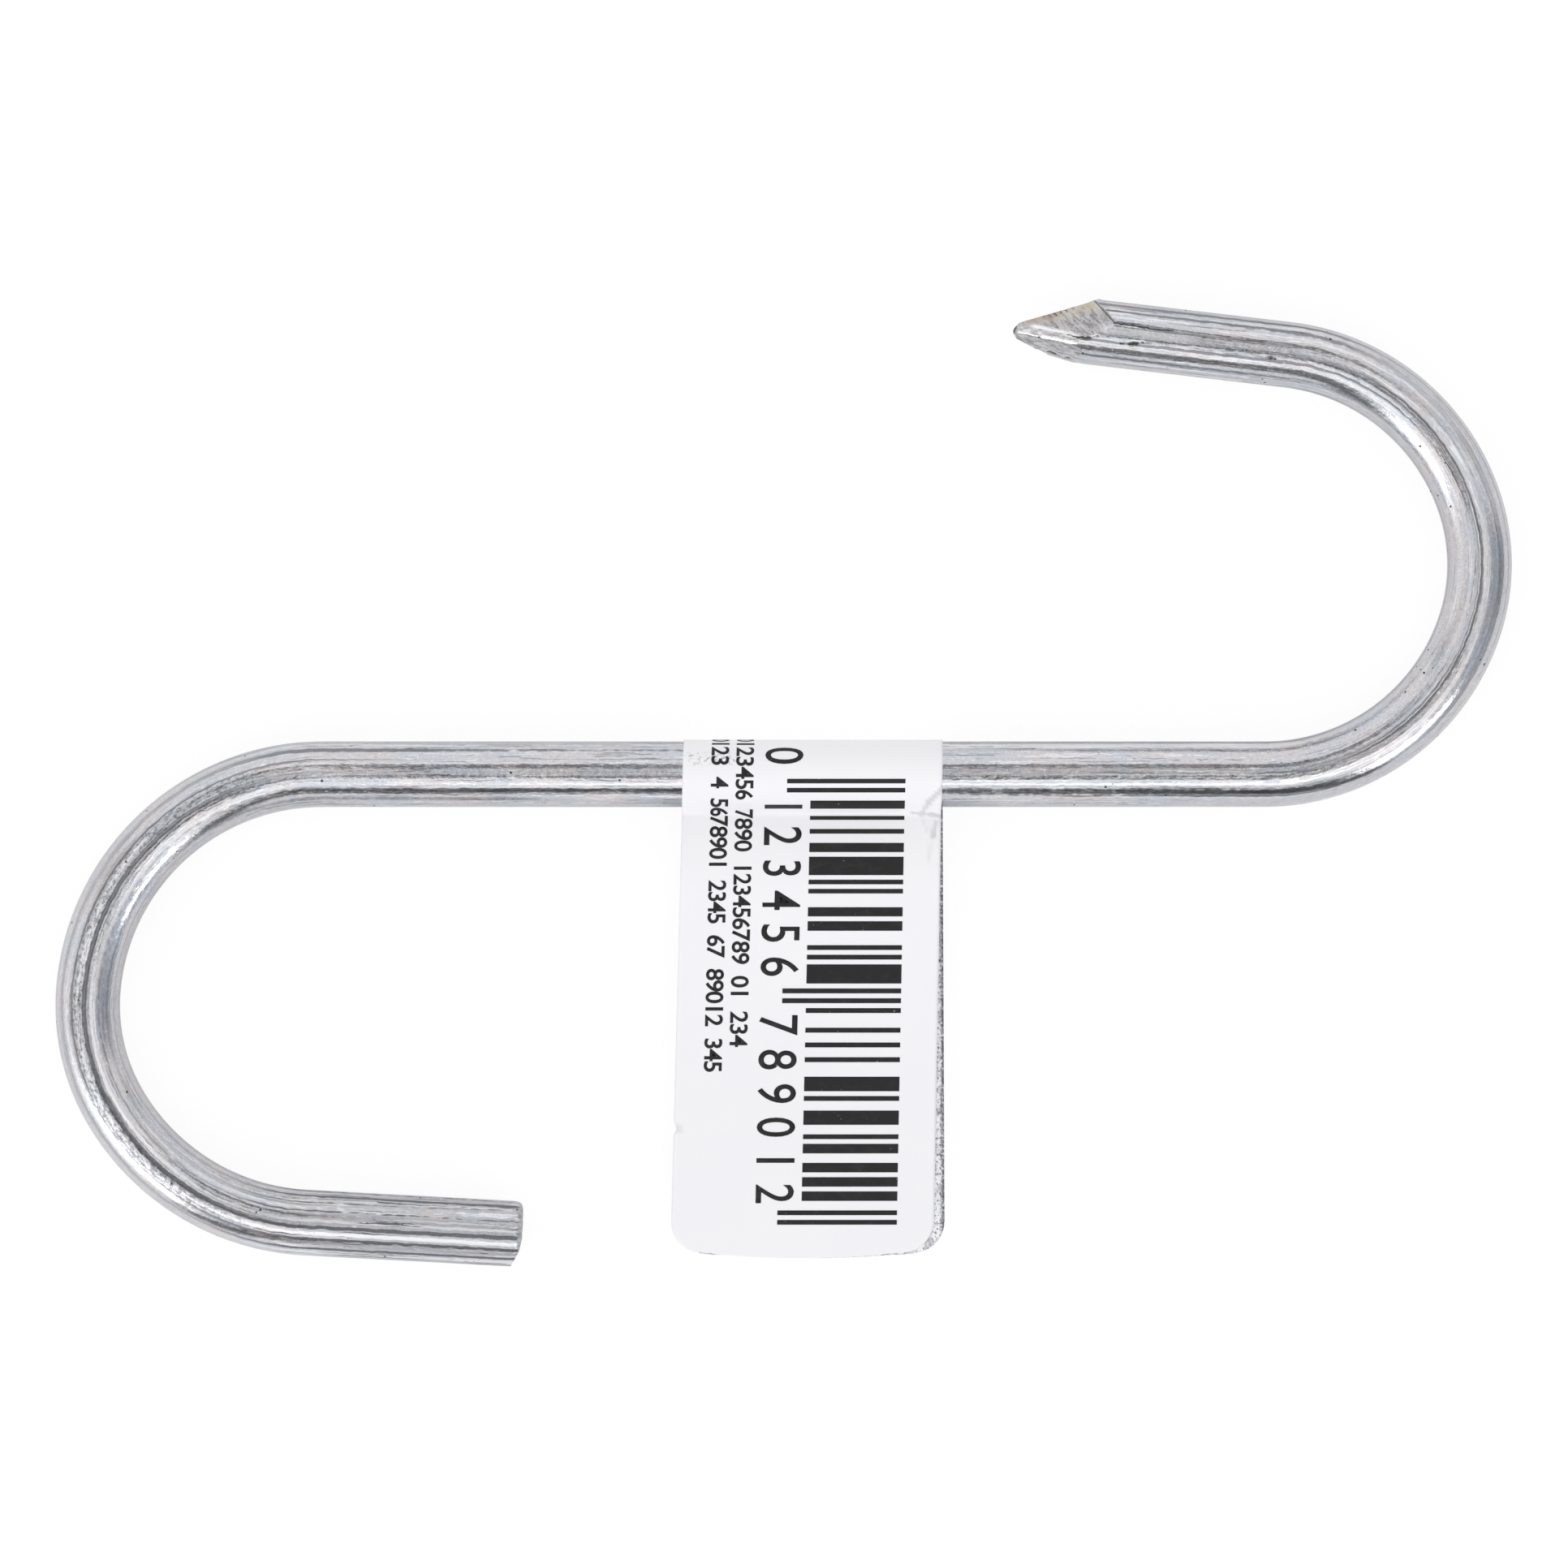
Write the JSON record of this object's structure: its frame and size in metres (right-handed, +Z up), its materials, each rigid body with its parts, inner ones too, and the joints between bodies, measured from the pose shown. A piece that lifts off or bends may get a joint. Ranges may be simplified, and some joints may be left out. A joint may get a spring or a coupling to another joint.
{
  "type": "s hook",
  "caption": "Galvanised wire S hook, pinch-cut to a point at its load end and sheared blunt at its rail end, with a folded paper label stuck round the shank.",
  "frame": {"origin": "bottom centre of the whole part's box, on the surface that the hook lies on", "axes": "+X along the shank towards the pointed hook's bend, +Y from the shank towards the pointed leg, +Z up from the surface"},
  "size_m": [0.1, 0.0664, 0.0047],
  "materials": {
    "zinc_wire": "drawn and galvanised, with lengthwise draw lines",
    "label_paper": "matte coated paper"
  },
  "bodies": {
    "root": {"wire_hook": "zinc_wire", "label": "label_paper"}
  },
  "joints": []
}
